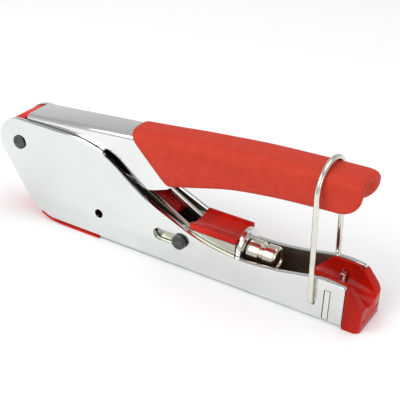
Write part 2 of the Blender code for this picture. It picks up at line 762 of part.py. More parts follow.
def link_plate(name, side):
    low, high = sorted((side * LINK_INNER, side * LINK_OUTER))
    holes = [circle(LINK_PIN, PIN_RADIUS + GAP / 2), circle(RAM_PIN, PIN_RADIUS + LINK_PLAY)]
    holes += [circle(place, RIVET_RADIUS + GAP / 2, 16) for place in link_rivet_places()]
    return plate(name, capsule(link_path(), LINK_HALF_WIDTH, 10), low, high, holes)


def link_rivet_places():
    _, knee, ram = link_path()
    return [(knee[0] + (ram[0] - knee[0]) * t, knee[1] + (ram[1] - knee[1]) * t)
            for t in (0.12, 0.5)]


def link_filler():
    """The moulded block between the two link plates."""
    first, second = link_rivet_places()
    wide = LINK_INNER - GAP
    holes = [circle(place, RIVET_RADIUS + GAP / 2, 16) for place in (first, second)]
    return plate("link_filler", capsule([first, second], FILLER_RADIUS), -wide, wide, holes)


def link_rivet(name, place):
    return rod(name, place, RIVET_RADIUS, -LINK_OUTER, LINK_OUTER, 16)


def link_sleeve():
    """The spacer tube on the link pin, between the link plates."""
    wide = LINK_INNER - GAP
    made = rod("link_sleeve", LINK_PIN, PIN_RADIUS + 1.6 * MM, -wide, wide)
    return cut(made, rod("sleeve_bore", LINK_PIN, PIN_RADIUS + GAP / 2, -OUTSIDE, OUTSIDE))


# ---- ram ------------------------------------------------------------------------------------

def ram_carriage():
    rear = FACE_X - RAM_LENGTH
    section = channel_section(INSIDE, RAM_WALL, BODY_BEND, RAM_FLOOR, RAM_TOP + MM)
    made = bar("ram_carriage", section, rear, FACE_X - GAP)
    outline = rounded([(rear, RAM_FLOOR, 3 * MM), (FACE_X - GAP, RAM_FLOOR, 0),
                       (FACE_X - GAP, RAM_TOP, 0), (rear, RAM_TOP, 8 * MM)], 6)
    keep_common(made, plate("carriage_side", outline, -OUTSIDE, OUTSIDE))
    cut(made, rod("carriage_pin_hole", RAM_PIN, PIN_RADIUS + GAP / 2, -OUTSIDE, OUTSIDE))
    return made


def saddle_ring(x, belly):
    """A shallow trough whose rims rest on the carriage flanges, with a belly between them."""
    rim = RAM_TOP + GAP
    high = rim + SADDLE_RIM
    floor = high - SADDLE_DIP
    wide = RAM_INNER - GAP
    lip = INSIDE - SADDLE_EDGE
    radius = (lip ** 2 + SADDLE_DIP ** 2) / (2 * SADDLE_DIP)
    spread = atan2(lip, radius - SADDLE_DIP) * 180 / pi
    dish = arc((0, floor + radius), radius, -90 + spread, -90 - spread, 10)
    side = [(INSIDE, high - SADDLE_EDGE / 2), (INSIDE, rim), (wide, rim), (wide, rim - belly)]
    mirrored = [(-y, z) for y, z in side]
    return [(x, y, z) for y, z in mirrored + side[::-1] + dish]


def ram_saddle():
    """The saddle's belly starts in front of the link, which swings under its rear end."""
    end = FACE_X - GAP
    rear = end - SADDLE_LENGTH
    clear = RAM_PIN[0] + LINK_HALF_WIDTH + LINK_PLAY + GAP
    stations = ((rear, 0.05 * MM), (clear, 0.05 * MM), (clear + MM, MM), (end, MM))
    return loft("ram_saddle", [saddle_ring(x, belly) for x, belly in stations])


def ram_face():
    """The round-topped front wall of the ram, bored for the tip's shank."""
    arch = arc((0, RAM_TOP - 4.4 * MM), INSIDE, 0, 180, 20)
    outline = arch + [(-INSIDE, RAM_FLOOR), (INSIDE, RAM_FLOOR)]
    made = bar("ram_face", outline, FACE_X, FACE_X + FACE_PLATE)
    return cut(made, rod_x("face_bore", (0, RAM_HEIGHT), SHANK_RADIUS + GAP / 2,
                           FACE_X - MM, FACE_X + FACE_PLATE + MM))


def ram_pin():
    return headed_pin("ram_pin", RAM_PIN, RAM_HEAD, HEAD_PIN_RADIUS, 0.5 * MM)


def along_x(x):
    return Matrix.Translation((x, 0, RAM_HEIGHT)) @ Matrix.Rotation(pi / 2, 4, "Y")


def plunger_tip():
    """The nickel-plated tip: shank, two collars with a groove between, and an open socket."""
    back = FACE_PLATE + NUT_HEIGHT + 3 * GAP
    r = TIP_RADIUS
    groove = TIP_GROOVE
    profile = [(0, TIP_LENGTH - TIP_BORE_DEPTH), (TIP_BORE, TIP_LENGTH - TIP_BORE_DEPTH),
               (TIP_BORE, TIP_LENGTH - 0.5 * MM), (TIP_BORE + 0.5 * MM, TIP_LENGTH),
               (r - 0.9 * MM, TIP_LENGTH), (r - 0.1 * MM, TIP_LENGTH - 0.8 * MM),
               (r - 0.1 * MM, groove + 1.1 * MM), (r - MM, groove + 0.8 * MM), (r - MM, groove),
               (r, groove - 0.4 * MM), (r, 0.4 * MM), (r - 0.4 * MM, 0), (SHANK_RADIUS, 0),
               (SHANK_RADIUS, -back), (0, -back)]
    return turned("plunger_tip", profile, along_x(FACE_X + FACE_PLATE + GAP), 48)


def tip_nut():
    """The hexagon nut that holds the tip behind the front wall."""
    x = FACE_X - GAP
    made = rod_x("tip_nut", (0, RAM_HEIGHT), NUT_WIDTH / sqrt(3), x - NUT_HEIGHT, x, 6)
    return cut(made, rod_x("nut_bore", (0, RAM_HEIGHT), SHANK_RADIUS + GAP / 2,
                           x - NUT_HEIGHT - MM, x + MM))


# ---- bail -----------------------------------------------------------------------------------

def latch_bail():
    """One spring wire: its ends turn in through the plates, its top arches over the grip."""
    x, z = BAIL_HINGE
    tall = BAIL_SHOULDER - z
    half = []
    for i in range(5):
        turn = radians(90 * i / 4)
        y = BAIL_HALF_WIDTH - BAIL_CORNER * (1 - sin(turn))
        half.append((x, y, z + BAIL_CORNER * (1 - cos(turn))))
    for share in (0.35, 0.7):
        half.append((x + BAIL_LEAN * share, BAIL_HALF_WIDTH, z + tall * share))
    for i in range(9):
        turn = radians(90 * i / 8)
        rise = (BAIL_TOP - BAIL_SHOULDER) * sin(turn)
        half.append((x + BAIL_LEAN * (1 + rise / tall), BAIL_HALF_WIDTH * cos(turn),
                     BAIL_SHOULDER + rise))
    end = (x, PLATE_INNER + 0.1 * MM, z)
    path = [end] + half
    return wire("latch_bail", path + [(a, -b, c) for a, b, c in path[-2::-1]], WIRE_RADIUS)


# ---- assembly -------------------------------------------------------------------------------

def build():
    start()
    chrome = make_material("chromed_steel", (0.80, 0.81, 0.81), 0.12, 1.0)
    vinyl = make_material("dipped_vinyl", (0.62, 0.07, 0.035), 0.62, 0.0)
    red = make_material("red_moulding", (0.50, 0.014, 0.008), 0.25, 0.0)
    nickel = make_material("nickel_plate", (0.78, 0.74, 0.66), 0.2, 1.0)
    dark = make_material("blackened_steel", (0.09, 0.09, 0.10), 0.45, 1.0)
    steel = make_material("plain_steel", (0.55, 0.55, 0.54), 0.35, 1.0)

    handle = joint_axis("handle_axis", *PIVOT)
    link = joint_axis("link_axis", *LINK_PIN)
    ram = joint_axis("ram_axis", *RAM_PIN)
    bail = joint_axis("bail_axis", *BAIL_HINGE)

    finish(body_channel(), chrome)
    finish(rear_spine(), red)
    finish(nose_block(), red)
    finish(nose_pin("nose_pin_near", -1), steel)
    finish(nose_pin("nose_pin_far", 1), steel)
    finish(anvil_plate(), steel)
    finish(headed_pin("pivot_pin", PIVOT, PIVOT_HEAD, HEAD_PIN_RADIUS, 0.2 * MM), dark)
    finish(return_spring(), steel)

    finish(handle_channel(), chrome, handle)
    finish(handle_grip(), vinyl, handle)
    finish(handle_hub(), red, handle)
    finish(link_pin(), steel, handle)

    finish(link_plate("link_plate_near", -1), chrome, link)
    finish(link_plate("link_plate_far", 1), chrome, link)
    finish(link_filler(), red, link)
    for name, place in zip(("link_rivet_rear", "link_rivet_front"), link_rivet_places()):
        finish(link_rivet(name, place), steel, link)
    finish(link_sleeve(), steel, link)

    finish(ram_carriage(), chrome, ram)
    finish(ram_saddle(), red, ram)
    finish(ram_face(), chrome, ram)
    finish(ram_pin(), dark, ram)
    finish(plunger_tip(), nickel, ram)
    finish(tip_nut(), steel, ram)

    finish(latch_bail(), nickel, bail)


build()
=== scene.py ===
"""Looks for the coaxial crimping tool: fine surfaces, finishes, floor, light and camera.

Each of the tool's pieces is a surface worked out with numpy or a softened copy of its CAD node. Each
piece but the return spring rides on the CAD body that it belongs to.
"""

import json
from math import cos, pi, radians, sin

import bmesh
import bpy
import numpy as np
from mathutils import Matrix, Vector


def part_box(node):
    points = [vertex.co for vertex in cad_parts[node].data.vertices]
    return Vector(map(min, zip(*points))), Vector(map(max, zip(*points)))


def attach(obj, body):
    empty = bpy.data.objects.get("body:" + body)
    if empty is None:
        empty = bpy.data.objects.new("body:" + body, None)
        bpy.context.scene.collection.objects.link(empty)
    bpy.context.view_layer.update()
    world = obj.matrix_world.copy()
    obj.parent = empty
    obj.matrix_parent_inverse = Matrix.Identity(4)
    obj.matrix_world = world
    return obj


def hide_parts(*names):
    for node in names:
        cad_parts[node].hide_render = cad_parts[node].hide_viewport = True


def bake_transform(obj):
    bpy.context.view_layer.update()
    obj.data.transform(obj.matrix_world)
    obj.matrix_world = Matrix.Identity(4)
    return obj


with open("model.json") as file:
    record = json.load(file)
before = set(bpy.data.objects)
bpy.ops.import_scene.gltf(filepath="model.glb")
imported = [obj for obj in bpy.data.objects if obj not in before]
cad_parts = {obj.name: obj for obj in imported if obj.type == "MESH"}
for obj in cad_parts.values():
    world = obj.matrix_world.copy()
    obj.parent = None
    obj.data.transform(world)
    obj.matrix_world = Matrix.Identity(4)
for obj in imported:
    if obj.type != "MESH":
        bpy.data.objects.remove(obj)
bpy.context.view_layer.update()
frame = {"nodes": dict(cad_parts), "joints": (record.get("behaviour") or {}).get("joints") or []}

bl_info = {
    "name": "Crimping tool looks",
    "version": (1, 0, 0),
    "blender": (4, 5, 0),
    "location": "3D View > Sidebar > Crimping tool",
    "description": "Makes the visible surfaces and finishes of a coaxial crimping tool",
    "category": "Object",
}

MM = 0.001


def joint(name):
    return next(j for j in frame["joints"] if j["name"] == name)


def middle(node):
    """The centre of a CAD node's box."""
    low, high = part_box(node)
    return (np.array(low) + np.array(high)) / 2


def hinge_point(name):
    return np.array(joint(name)["pos_m"], dtype=float)


PIVOT = hinge_point("handle_hinge")
BAIL_HINGE = hinge_point("bail_swing")

# Edges: the turn above which one is eased, and the points along a fillet
EASED_ANGLE = radians(32)
FILLET_POINTS = 6

# Body and pins
INNER_FACE = 8.86 * MM
FLOOR_SKIN = 1.0 * MM
CLEARANCE = 0.3 * MM
PIN_RADIUS = 2.4 * MM
HEAD_SEAT = 11.3 * MM
HEAD_EDGE = 0.25 * MM

# Plunger tip
TIP_BORE = 3.5 * MM
TIP_BORE_DEPTH = 9 * MM
TIP_GROOVE = 6.2 * MM
TIP_GROOVE_WIDTH = 1.0 * MM
TIP_GROOVE_DEPTH = 0.9 * MM
SHANK_RADIUS = 2.5 * MM

# Grip
GRIP_CORNER = 11 * MM
GRIP_END_LIFT = 9.6 * MM
GRIP_END_FALL = 4.2 * MM
GRIP_END_DRAW = 1.5 * MM
LOBE_PRESS = 5.6 * MM
LOBE_LIFT = 3.0 * MM
LOBE_WIDTH = 4.4 * MM
LOBE_TOP = 55 * MM
LOBE_FADE = 7 * MM
CREASE_AT = (18 * MM, 54 * MM)
CREASE_WIDTH = 0.6 * MM
CREASE_HEIGHT = 4 * MM

# Saddle
SADDLE_RIM = 19.4 * MM
SADDLE_DIP = 1.9 * MM
SADDLE_BELLY = 0.9 * MM
SADDLE_LIP = 1.3 * MM
SADDLE_INSIDE = 6.4 * MM
SADDLE_ROUND = 0.75 * MM

# Bail and spring
BAIL_WIRE = 1.15 * MM
BAIL_SHOULDER = 53.6 * MM
BAIL_CORNER = 2.4 * MM
BAIL_LEAN = -1.8 * MM
BAIL_END = 8.95 * MM
SPRING_WIRE = 0.7 * MM
SPRING_RADIUS = 4.4 * MM
SPRING_TURNS = 3.25
SPRING_PITCH = 1.6 * MM
SPRING_START = radians(202)
SPRING_LOWER_LEG = (2.6 * MM, 19.6 * MM)
SPRING_UPPER_LEG = (13.5 * MM, 45.4 * MM)

# Camera, its lens in mm, and lights: name, place, size and watts
CAMERA_YAW = radians(30.187)
CAMERA_RISE = radians(29.511)
CAMERA_ROLL = radians(-2.516)
CAMERA_AT = (0.18832, -0.30755, 0.23044)
CAMERA_LENS = 88.43
LIGHTS = (
    ("front_box", (-0.35, -0.75, 0.75), (0.9, 0.6), 4.1),
    ("left_box", (-0.5, -0.55, 0.85), (0.45, 0.45), 2.0),
    ("top_box", (0.2, 0.3, 1.0), (0.8, 0.8), 3.0),
    ("right_box", (0.9, -0.35, 0.5), (0.5, 0.6), 1.4),
)


# ---- surfaces -------------------------------------------------------------------------------

def new_piece(name, mesh):
    made = bpy.data.objects.new(name, mesh)
    bpy.context.scene.collection.objects.link(made)
    return made


def grid_piece(name, points, capped=True):
    """A skin over points[row, column]: rows run along the piece and columns run round it."""
    rows, columns = points.shape[:2]
    index = np.arange(rows * columns).reshape(rows, columns)
    index = np.concatenate([index, index[:, :1]], axis=1)
    quads = np.stack([index[:-1, :-1], index[:-1, 1:], index[1:, 1:], index[1:, :-1]], axis=-1)
    faces = quads.reshape(-1, 4).tolist()
    if capped:
        faces.append(list(range(columns))[::-1])
        faces.append(list(range((rows - 1) * columns, rows * columns)))
    mesh = bpy.data.meshes.new(name)
    mesh.from_pydata(points.reshape(-1, 3).tolist(), [], faces)
    outward(mesh)
    return new_piece(name, mesh)


def outward(mesh):
    """Doubles merged and faces pointing out of the closed skin."""
    skin = bmesh.new()
    skin.from_mesh(mesh)
    bmesh.ops.remove_doubles(skin, verts=skin.verts, dist=1e-7)
    bmesh.ops.recalc_face_normals(skin, faces=skin.faces)
    if skin.calc_volume(signed=True) < 0:
        bmesh.ops.reverse_faces(skin, faces=skin.faces)
    skin.to_mesh(mesh)
    skin.free()
    mesh.shade_smooth()


def softened_copy(name, node, edge):
    """A CAD node's shape with its doubles merged, flat faces joined and sharp edges rounded."""
    skin = bmesh.new()
    skin.from_mesh(frame["nodes"][node].data)
    bmesh.ops.remove_doubles(skin, verts=skin.verts, dist=2e-6)
    bmesh.ops.dissolve_limit(skin, angle_limit=radians(0.6), verts=skin.verts, edges=skin.edges)
    mesh = bpy.data.meshes.new(name)
    skin.to_mesh(mesh)
    skin.free()
    mesh.shade_smooth()
    made = new_piece(name, mesh)
    bevel = made.modifiers.new("eased edges", "BEVEL")
    bevel.width = edge
    bevel.segments = 3
    bevel.limit_method = "ANGLE"
    bevel.angle_limit = EASED_ANGLE
    bevel.harden_normals = True
    bevel.miter_outer = "MITER_ARC"
    return made


def rounded_profile(corners):
    """A line through (radius, height, fillet) corners with each fillet as an arc."""
    out = []
    for i, (r, h, fillet) in enumerate(corners):
        here = np.array((r, h), dtype=float)
        if not fillet or i in (0, len(corners) - 1):
            out.append(here)
            continue
        before = np.array(corners[i - 1][:2]) - here
        after = np.array(corners[i + 1][:2]) - here
        u = before / np.linalg.norm(before)
        v = after / np.linalg.norm(after)
        reach = min(fillet, 0.45 * np.linalg.norm(before), 0.45 * np.linalg.norm(after))
        t = np.linspace(0, 1, FILLET_POINTS)[:, None]
        start, end = here + u * reach, here + v * reach
        out.extend((1 - t) ** 2 * start + 2 * t * (1 - t) * here + t ** 2 * end)
    return np.array(out)


def turned_piece(name, corners, centre, axis, segments=96):
    """A rounded (radius, height) profile turned about an axis: r(cos a, sin a) at each height."""
    profile = rounded_profile(corners)
    turn = np.linspace(0, 2 * pi, segments, endpoint=False)
    r, h = profile[:, 0, None], profile[:, 1, None]
    across, along = r * np.cos(turn), r * np.sin(turn)
    lift = h + 0 * turn
    if axis == "X":
        points = np.stack([lift, across, along], axis=-1)
    else:
        points = np.stack([across, lift, along], axis=-1)
    return grid_piece(name, points + np.array(centre), capped=False)


def tube_piece(name, path, radius, sides=20, guide=(1.0, 0.0, 0.04)):
    """A circle of the wire's radius carried along a path, square to the path and to a guide."""
    tangent = np.gradient(path, axis=0)
    tangent /= np.linalg.norm(tangent, axis=1)[:, None]
    side = np.cross(tangent, np.array(guide))
    side /= np.linalg.norm(side, axis=1)[:, None]
    up = np.cross(side, tangent)
    turn = np.linspace(0, 2 * pi, sides, endpoint=False)
    ring = (np.cos(turn)[None, :, None] * side[:, None] + np.sin(turn)[None, :, None] * up[:, None])
    return grid_piece(name, path[:, None] + radius * ring)


def through(points, x):
    """Heights at x on a smooth curve through (x, z) points: cubic Hermite with mean slopes."""
    px, pz = np.array(points).T
    slope = np.gradient(pz, px)
    i = np.clip(np.searchsorted(px, x) - 1, 0, len(px) - 2)
    width = px[i + 1] - px[i]
    t = np.clip((x - px[i]) / width, -0.5, 1.5)
    return ((2 * t ** 3 - 3 * t ** 2 + 1) * pz[i] + (t ** 3 - 2 * t ** 2 + t) * width * slope[i]
            + (3 * t ** 2 - 2 * t ** 3) * pz[i + 1] + (t ** 3 - t ** 2) * width * slope[i + 1])


def smoothstep(t):
    t = np.clip(t, 0, 1)
    return t * t * (3 - 2 * t)


# ---- finishes -------------------------------------------------------------------------------

class Amount:
    """A number that varies over a surface. Sums and products of it add Math nodes."""

    def __init__(self, finish, socket):
        self.finish = finish
        self.socket = socket

    def _with(self, operation, first, second):
        return Amount(self.finish, self.finish.node(
            "ShaderNodeMath", {"operation": operation}, {0: first, 1: second}).outputs[0])

    def __add__(self, other):
        return self._with("ADD", self, other)

    def __radd__(self, other):
        return self._with("ADD", other, self)

    def __mul__(self, other):
        return self._with("MULTIPLY", self, other)


class Finish:
    """One material under construction, round its Principled shader."""

    def __init__(self, name, colour, roughness, metallic=0.0, specular=0.5):
        self.material = bpy.data.materials.new(name)
        self.material.use_nodes = True
        self.tree = self.material.node_tree
        self.shader = self.tree.nodes["Principled BSDF"]
        self.set("Base Color", (*colour, 1))
        self.set("Roughness", roughness)
        self.set("Metallic", metallic)
        self.set("Specular IOR Level", specular)
        self.place = self.node("ShaderNodeTexCoord").outputs["Object"]

    def set(self, socket, value):
        self.shader.inputs[socket].default_value = value

    def feed(self, socket, value):
        self._join(value, self.shader.inputs[socket])

    def _join(self, value, target):
        if isinstance(value, Amount):
            value = value.socket
        if isinstance(value, bpy.types.NodeSocket):
            self.tree.links.new(value, target)
        else:
            target.default_value = value

    def node(self, kind, settings=None, sockets=None):
        """Any node: its settings are set first, then the values or links of its sockets."""
        made = self.tree.nodes.new(kind)
        for key, value in (settings or {}).items():
            setattr(made, key, value)
        for key, value in (sockets or {}).items():
            self._join(value, made.inputs[key])
        return made

    def stretched(self, scale):
        return self.node("ShaderNodeMapping", {}, {"Vector": self.place, "Scale": scale}).outputs[0]

    def noise(self, scale, detail=2.0, roughness=0.5, where=None, distortion=0.0):
        made = self.node("ShaderNodeTexNoise", {}, {
            "Vector": where or self.place, "Scale": scale, "Detail": detail,
            "Roughness": roughness, "Distortion": distortion})
        return Amount(self, made.outputs["Fac"])

    def range(self, amount, low, high, to_low=0.0, to_high=1.0):
        made = self.node("ShaderNodeMapRange", {"clamp": True}, {
            "Value": amount, "From Min": low, "From Max": high, "To Min": to_low, "To Max": to_high})
        return Amount(self, made.outputs[0])

    def axis(self, letter):
        made = self.node("ShaderNodeSeparateXYZ", {}, {0: self.place})
        return Amount(self, made.outputs[letter])

    def size_of(self, amount):
        made = self.node("ShaderNodeMath", {"operation": "ABSOLUTE"}, {0: amount})
        return Amount(self, made.outputs[0])

    def blend(self, share, first, second):
        """A colour between two: colours are (r, g, b) or sockets."""
        def full(colour):
            return (*colour, 1) if isinstance(colour, tuple) else colour
        made = self.node("ShaderNodeMix", {"data_type": "RGBA"}, {
            0: share, 6: full(first), 7: full(second)})
        return made.outputs[2]

    def bump(self, height, depth, strength=1.0, normal=None):
        sockets = {"Height": height, "Distance": depth, "Strength": strength}
        if normal:
            sockets["Normal"] = normal
        made = self.node("ShaderNodeBump", {}, sockets)
        return made.outputs[0]


def chrome(name, colour, inside=False, roughness=0.07):
    """Bright plate on cold-rolled sheet: faint waves, hairline scratches and hazy patches, and with
    inside set, painted shade on a channel's inner faces.
    """
    made = Finish(name, colour, 0.1, 1.0)
    haze = made.noise(55, 3)
    scratch = made.range(made.noise(900, 2, where=made.stretched((0.05, 1, 1))), 0.66, 0.75)
    rough = roughness + haze * 0.07 + scratch * 0.1
    shade = tuple(0.93 * c for c in colour)
    tone = made.blend(made.range(made.noise(38, 4), 0.35, 0.7), colour, shade)
    # Painted shade: the channel's inner faces above its floor are painted dark brown, standing in for
    # the shade inside the channel, and made rougher.
    if inside:
        between = made.range(made.size_of(made.axis("Y")), INNER_FACE, INNER_FACE + 0.1 * MM,
                             1.0, 0.0)
        shaded_inner_side = between * made.range(made.axis("Z"), FLOOR_SKIN, 1.2 * FLOOR_SKIN)
        inner_painted_shade = made.blend(made.noise(120, 4), (0.20, 0.16, 0.12), (0.34, 0.28, 0.22))
        tone = made.blend(shaded_inner_side, tone, inner_painted_shade)
        rough = rough + shaded_inner_side * 0.35
    made.feed("Base Color", tone)
    made.feed("Roughness", rough)
    waves = made.bump(made.noise(42, 1), 0.05 * MM, 0.35)
    made.feed("Normal", made.bump(scratch, 0.004 * MM, 0.5, waves))
    return made.material


def vinyl(name, colour):
    """Soft dipped vinyl: mottled, finely pebbled and faintly puckered."""
    made = Finish(name, colour, 0.6, specular=0.28)
    mottle = made.range(made.noise(260, 5, 0.65), 0.3, 0.72)
    clouds = made.range(made.noise(34, 3), 0.3, 0.72)
    paler = tuple(min(1.0, c * 1.08 + 0.006) for c in colour)
    deeper = tuple(c * 0.9 for c in colour)
    tone = made.blend(mottle, deeper, paler)
    made.feed("Base Color", made.blend(clouds * 0.45, tone, colour))
    made.feed("Roughness", 0.5 + made.noise(420, 3) * 0.25)
    pucker = made.noise(230, 5, 0.65, where=made.stretched((0.6, 1, 1)), distortion=0.6)
    grain = made.noise(800, 4, 0.7)
    large = made.bump(pucker, 0.8 * MM, 0.9)
    made.feed("Normal", made.bump(grain, 0.3 * MM, 0.9, large))
    return made.material


def moulding(name, colour, roughness=0.22):
    """Glossy injection-moulded plastic with flow marks and light scuffs."""
    made = Finish(name, colour, roughness, specular=0.16)
    flow = made.range(made.noise(90, 3, where=made.stretched((1, 0.3, 0.3)), distortion=1.0),
                      0.35, 0.7)
    made.feed("Base Color", made.blend(flow, tuple(0.8 * c for c in colour),
                                       tuple(min(1.0, 1.15 * c) for c in colour)))
    scuff = made.range(made.noise(700, 3), 0.5, 0.75)
    made.feed("Roughness", roughness - 0.04 + scuff * 0.16)
    made.feed("Normal", made.bump(made.noise(260, 2), 0.02 * MM, 0.4))
    return made.material


def plated(name, colour, roughness):
    """Bright nickel on turned or drawn steel."""
    made = Finish(name, colour, roughness, 1.0)
    cloud = made.noise(260, 3)
    made.feed("Roughness", roughness * 0.8 + cloud * 0.08)
    made.feed("Base Color", made.blend(made.range(cloud, 0.3, 0.7), colour,
                                       tuple(0.86 * c for c in colour)))
    made.feed("Normal", made.bump(made.noise(2200, 1, where=made.stretched((1, 0.08, 0.08))),
                                  0.006 * MM, 0.4))
    return made.material


def worked_steel(name, colour, roughness, pits):
    """Blackened or plain steel with a pitted, worn skin."""
    made = Finish(name, colour, roughness, 0.9)
    wear = made.range(made.noise(800, 4), 0.45, 0.75)
    made.feed("Base Color", made.blend(wear, colour, tuple(min(1.0, 1.9 * c) for c in colour)))
    made.feed("Roughness", roughness - 0.08 + made.noise(500, 3) * 0.2)
    made.feed("Normal", made.bump(made.noise(1100, 4, 0.7), pits * MM, 0.8))
    return made.material


FINISHES = {}


def make_finishes(colours):
    FINISHES.update({
        "body_sheet": chrome("body_sheet", (0.76, 0.79, 0.775), inside=True),
        "handle_sheet": chrome("handle_sheet", (0.82, 0.83, 0.82)),
        "ram_sheet": chrome("ram_sheet", (0.82, 0.82, 0.81), roughness=0.14),
        "carriage_sheet": chrome("carriage_sheet", (0.50, 0.49, 0.41), roughness=0.3),
        "grip": vinyl("grip_vinyl", tuple(colours.grip_colour)),
        "red": moulding("red_moulding", tuple(colours.moulding_colour)),
        "spine_red": moulding("spine_red", (0.60, 0.014, 0.006), 0.35),
        "saddle": moulding("saddle_red", tuple(colours.saddle_colour), 0.14),
        "nickel": plated("bright_nickel", (0.77, 0.765, 0.68), 0.16),
        "tip": plated("tip_nickel", (0.76, 0.70, 0.60), 0.2),
        "pin_steel": plated("pin_steel", (0.82, 0.81, 0.77), 0.22),
        "black": worked_steel("blackened_steel", (0.075, 0.08, 0.08), 0.42, 0.03),
        "steel": worked_steel("plain_steel", (0.42, 0.41, 0.39), 0.36, 0.012),
        "link_sheet": chrome("link_sheet", (0.66, 0.65, 0.62), roughness=0.2),
    })


def dress(piece, finish, body, node):
    """Gives a piece its finish, its body and the CAD node that it stands for."""
    piece.data.materials.clear()
    piece.data.materials.append(FINISHES[finish])
    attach(piece, body)
    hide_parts(node)


# ---- the grip -------------------------------------------------------------------------------

def grip_mouth_x(z):
    """The slanted mouth: where the sleeve starts at each height."""
    line = ((34.6, 78.6), (39.2, 73.75), (44.2, 68.75), (48.9, 63.75), (52.6, 59.2), (55.8, 56.95),
            (58, 55.9))
    heights, backs = np.array(line).T
    return PIVOT[0] + np.interp(z / MM, heights, backs) * MM


def grip_bottom(x):
    line = ((55, 30.2), (72, 33.6), (80, 35.8), (88, 38.1), (106.6, 43.1), (124, 45.7), (141, 47.1),
            (149, 47.6), (161, 48.2))
    return through([(PIVOT[0] + a * MM, z * MM) for a, z in line], x)


def grip_top(x):
    line = ((55, 55.2), (68.3, 56.7), (82.8, 58.4), (94.5, 59.6), (119.2, 61.7), (141.4, 62.7),
            (161, 63.5))
    return through([(PIVOT[0] + a * MM, z * MM) for a, z in line], x)


def grip_section(count):
    """Unit section, a U: out over the rounded top and back through the hollow. Values in -1..1."""
    angle = np.linspace(-pi / 2, 3 * pi / 2, count)
    power = np.where(np.sin(angle) > 0, 2 / 3.3, 2 / 7.0)
    y = np.sign(np.cos(angle)) * np.abs(np.cos(angle)) ** power
    z = np.sign(np.sin(angle)) * np.abs(np.sin(angle)) ** power
    return y, z


def grip_sleeve(sizes):
    """Sleeve z = mix(bottom(x), top(x), w): rings slide from the slanted mouth to the round end."""
    low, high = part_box("handle_grip")
    half = (high[1] - low[1]) / 2
    end = high[0]
    straight = end - GRIP_CORNER
    around = 120
    y, z = grip_section(around + 1)
    y, z = y[:-1][None], z[:-1][None]
    along = np.linspace(0, 1, 110)[:, None]
    level = np.full_like(along * z, 50 * MM)
    for _ in range(8):
        mouth = grip_mouth_x(level)
        x = mouth + (straight - mouth) * along
        level = grip_bottom(x) + (grip_top(x) - grip_bottom(x)) * (z + 1) / 2
    wide = half * y + 0 * x
    body = np.stack([x, wide, level], axis=-1)
    t = np.linspace(0, 1, 27)[1:, None] * pi / 2
    bend = 1 - np.cos(t)
    foot = grip_bottom(np.array(straight)) + GRIP_END_LIFT * bend ** 1.15
    x = straight + GRIP_CORNER * np.sin(t)
    crown = grip_top(x) - GRIP_END_FALL * bend ** 2.2
    x = x + 0 * z
    level = foot + (crown - foot) * (z + 1) / 2
    wide = (half - GRIP_END_DRAW * bend ** 1.6) * y
    round_end = np.stack([x, wide, level], axis=-1)
    last = round_end[-1]
    centre = np.array((end, 0, (foot[-1, 0] + crown[-1, 0]) / 2))
    shrink = np.linspace(1, 0.02, 16)[1:, None, None]
    cap = centre + (last - centre) * shrink
    cap[..., 0] = end
    points = np.concatenate([body, round_end, cap])
    points = end_lobes(points, end)
    points = puckers(points, sizes.grip_unevenness)
    return grid_piece("grip_sleeve", points)


def end_lobes(points, end):
    """An upright groove exp(-(y/w)^2) pressed in the end, which fades towards the top."""
    x, y, z = np.moveaxis(points, -1, 0)
    reach = 1.1 * GRIP_CORNER
    near_end = smoothstep((x - (end - reach)) / reach)
    fade = 1 - smoothstep((z - LOBE_TOP) / LOBE_FADE)
    groove = np.exp(-(y / LOBE_WIDTH) ** 2) * near_end * fade
    return np.stack([x - LOBE_PRESS * groove, y, z + LOBE_LIFT * groove], axis=-1)


def puckers(points, depth):
    """Slow waves of the skin, products of sines along and round, and one short Gaussian crease."""
    x, y, z = np.moveaxis(points, -1, 0)
    wave = (np.sin(x / (7.1 * MM) + z / (5.3 * MM)) * np.sin(x / (11.7 * MM) - z / (8.9 * MM))
            + 0.5 * np.sin(x / (3.9 * MM) + 1.3) * np.sin(z / (4.3 * MM) + y / (6 * MM)))
    inward = np.sign(y) * smoothstep(np.abs(y) / (9 * MM))
    off, above = x - CREASE_AT[0], z - CREASE_AT[1]
    crease = np.exp(-((off - 0.25 * above) / CREASE_WIDTH) ** 2 - (above / CREASE_HEIGHT) ** 2)
    return np.stack([x, y - depth * inward * (0.5 + 0.5 * wave + 1.6 * crease), z], axis=-1)


# ---- turned and bent pieces -----------------------------------------------------------------

def tip_profile():
    """The plunger tip from its socket's floor, over the mouth and both collars, to the shank."""
    low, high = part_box("plunger_tip")
    front = high[0]
    back = low[0]
    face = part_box("ram_face")[1][0] + CLEARANCE
    r = (high[1] - low[1]) / 2
    floor = front - TIP_BORE_DEPTH
    waist = r - TIP_GROOVE_DEPTH
    front_r = r - 0.15 * MM
    groove = face + TIP_GROOVE
    groove_end = groove + TIP_GROOVE_WIDTH
    socket = [(0, floor, 0), (TIP_BORE, floor, 0.3 * MM), (TIP_BORE, front - 0.7 * MM, 0.3 * MM),
              (TIP_BORE + 0.7 * MM, front, 0.25 * MM)]
    front_collar = [(r - MM, front, 0.4 * MM), (front_r, front - 0.9 * MM, 0.5 * MM),
                    (front_r, groove_end + 0.5 * MM, 0.3 * MM)]
    neck = [(waist, groove_end, 0.2 * MM), (waist, groove, 0.2 * MM)]
    rear_collar = [(r, groove - 0.5 * MM, 0.3 * MM), (r, face + 0.4 * MM, 0.3 * MM),
                   (r - 0.5 * MM, face, 0.2 * MM)]
    shank = [(SHANK_RADIUS, face, 0.1 * MM), (SHANK_RADIUS, back, 0.2 * MM), (0, back, 0)]
    return socket + front_collar + neck + rear_collar + shank


